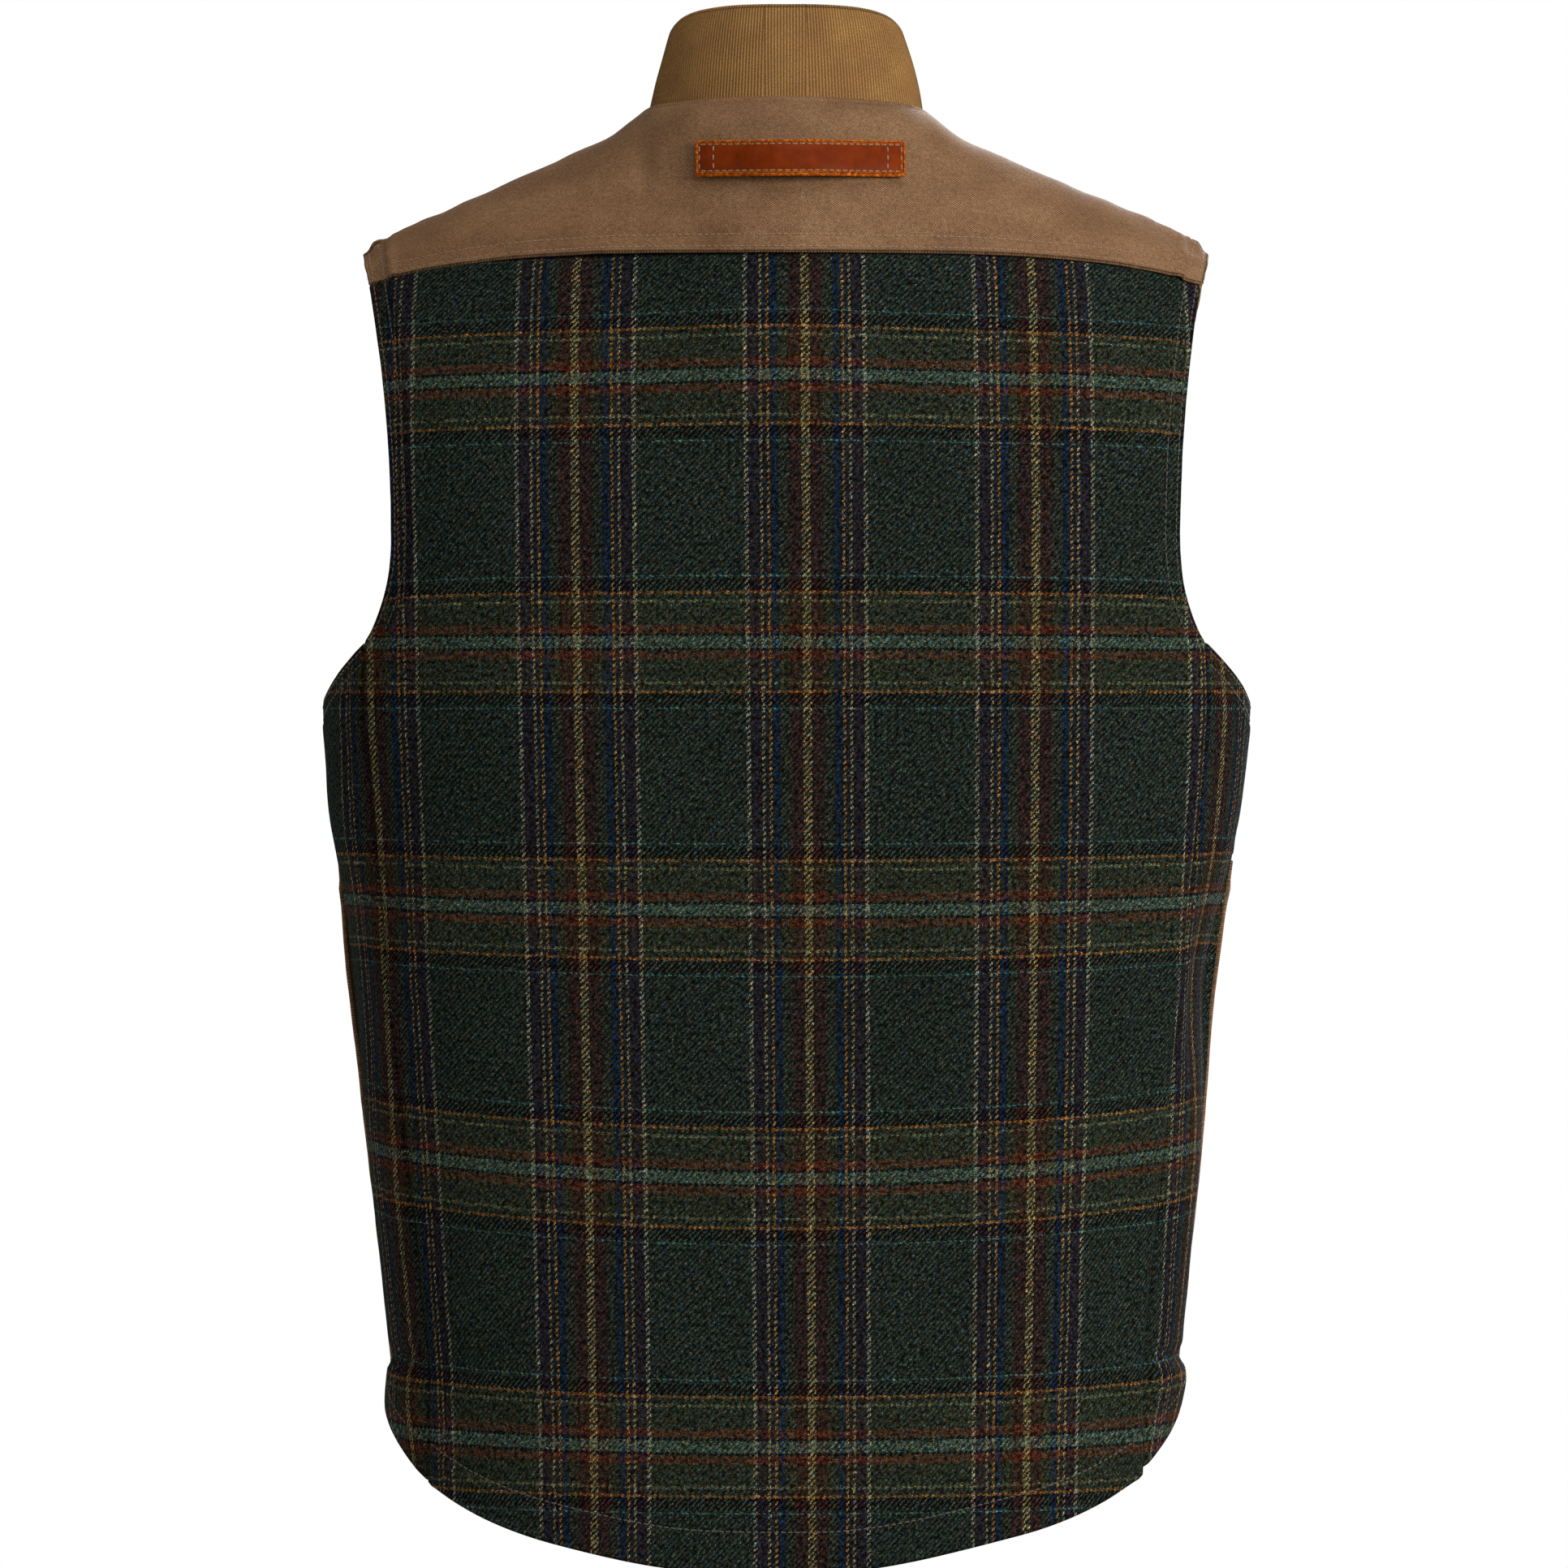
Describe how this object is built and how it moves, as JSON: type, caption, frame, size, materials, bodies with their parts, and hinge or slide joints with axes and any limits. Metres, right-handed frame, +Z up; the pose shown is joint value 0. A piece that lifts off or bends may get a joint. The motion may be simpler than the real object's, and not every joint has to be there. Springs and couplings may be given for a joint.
{
  "type": "fishing vest",
  "caption": "Zip-front fishing vest in plaid tweed and waxed canvas, with a rib-knit stand collar, drop-tail back, leather net loop and flapped pockets.",
  "frame": {"origin": "middle of the neck opening, level with the shoulder seams beside the collar, where the wearer's shoulders or a hanger carry the vest", "axes": "+Z up, +X to the wearer's left, +Y towards the wearer's back"},
  "size_m": [0.45, 0.2426, 0.754],
  "materials": {
    "tweed": "woollen plaid tweed, 2/2 twill",
    "waxed_canvas": "waxed cotton canvas, matt",
    "rib_knit": "fine 1x1 rib knit",
    "leather": "oiled bridle leather, burnished edges",
    "lining": "plain-woven lining, matt",
    "zip_tape": "woven polyester tape",
    "antique_brass": "antiqued, satin"
  },
  "bodies": {
    "root": {"back_panel": "tweed", "back_lining": "lining", "back_yoke": "waxed_canvas", "back_yoke_lining": "lining", "side_panel_left": "tweed", "side_panel_right": "tweed", "side_lining_left": "lining", "side_lining_right": "lining", "collar_back": "rib_knit", "leather_loop": "leather"},
    "left_front": {"lower_front_left": "waxed_canvas", "upper_front_left": "tweed", "front_lining_left": "lining", "front_yoke_left": "waxed_canvas", "collar_front_left": "rib_knit", "zip_tape_left": "zip_tape", "zip_teeth_left": "antique_brass", "zip_top_stop_left": "antique_brass", "chest_pocket_left": "waxed_canvas", "lower_pocket_left": "waxed_canvas", "chest_snap_stud_left": "antique_brass", "lower_snap_stud_1_left": "antique_brass", "lower_snap_stud_2_left": "antique_brass", "zip_pin": "antique_brass"},
    "right_front": {"lower_front_right": "waxed_canvas", "upper_front_right": "tweed", "front_lining_right": "lining", "front_yoke_right": "waxed_canvas", "collar_front_right": "rib_knit", "zip_tape_right": "zip_tape", "zip_teeth_right": "antique_brass", "zip_top_stop_right": "antique_brass", "chest_pocket_right": "waxed_canvas", "lower_pocket_right": "waxed_canvas", "chest_snap_stud_right": "antique_brass", "lower_snap_stud_1_right": "antique_brass", "lower_snap_stud_2_right": "antique_brass", "zip_box": "antique_brass"},
    "zip_slider": {"zip_slider": "antique_brass"},
    "zip_pull_tab": {"zip_pull_tab": "antique_brass"},
    "chest_flap_left": {"chest_flap_left": "waxed_canvas", "chest_snap_cap_left": "antique_brass"},
    "lower_flap_left": {"lower_flap_left": "waxed_canvas", "lower_snap_cap_1_left": "antique_brass", "lower_snap_cap_2_left": "antique_brass"},
    "chest_flap_right": {"chest_flap_right": "waxed_canvas", "chest_snap_cap_right": "antique_brass"},
    "lower_flap_right": {"lower_flap_right": "waxed_canvas", "lower_snap_cap_1_right": "antique_brass", "lower_snap_cap_2_right": "antique_brass"}
  },
  "joints": [
    {"name": "left_front_open", "type": "hinge", "parent": "root", "child": "left_front", "pos_m": [0.2258, -0.013, -0.3], "axis": [0, 0, 1], "range_deg": [0, 15]},
    {"name": "right_front_open", "type": "hinge", "parent": "root", "child": "right_front", "pos_m": [-0.2258, -0.013, -0.3], "axis": [0, 0, -1], "range_deg": [0, 15]},
    {"name": "zip_slide", "type": "slide", "parent": "right_front", "child": "zip_slider", "axis": [0, -0.03, -0.9996], "range_m": [0, 0.594]},
    {"name": "pull_tab_flip", "type": "hinge", "parent": "zip_slider", "child": "zip_pull_tab", "pos_m": [0, -0.0853, -0.01744], "axis": [-1, 0, 0], "range_deg": [0, 150]},
    {"name": "chest_flap_left_lift", "type": "hinge", "parent": "left_front", "child": "chest_flap_left", "pos_m": [0.02934, -0.09444, -0.17703], "axis": [-0.9917, -0.1283, 0], "range_deg": [0, 130]},
    {"name": "chest_flap_right_lift", "type": "hinge", "parent": "right_front", "child": "chest_flap_right", "pos_m": [-0.02934, -0.09444, -0.17703], "axis": [-0.9917, 0.1283, 0], "range_deg": [0, 130]},
    {"name": "lower_flap_left_lift", "type": "hinge", "parent": "left_front", "child": "lower_flap_left", "pos_m": [0.03002, -0.10348, -0.43731], "axis": [-0.9894, -0.1452, 0], "range_deg": [0, 130]},
    {"name": "lower_flap_right_lift", "type": "hinge", "parent": "right_front", "child": "lower_flap_right", "pos_m": [-0.03002, -0.10348, -0.43731], "axis": [-0.9894, 0.1452, 0], "range_deg": [0, 130]}
  ]
}
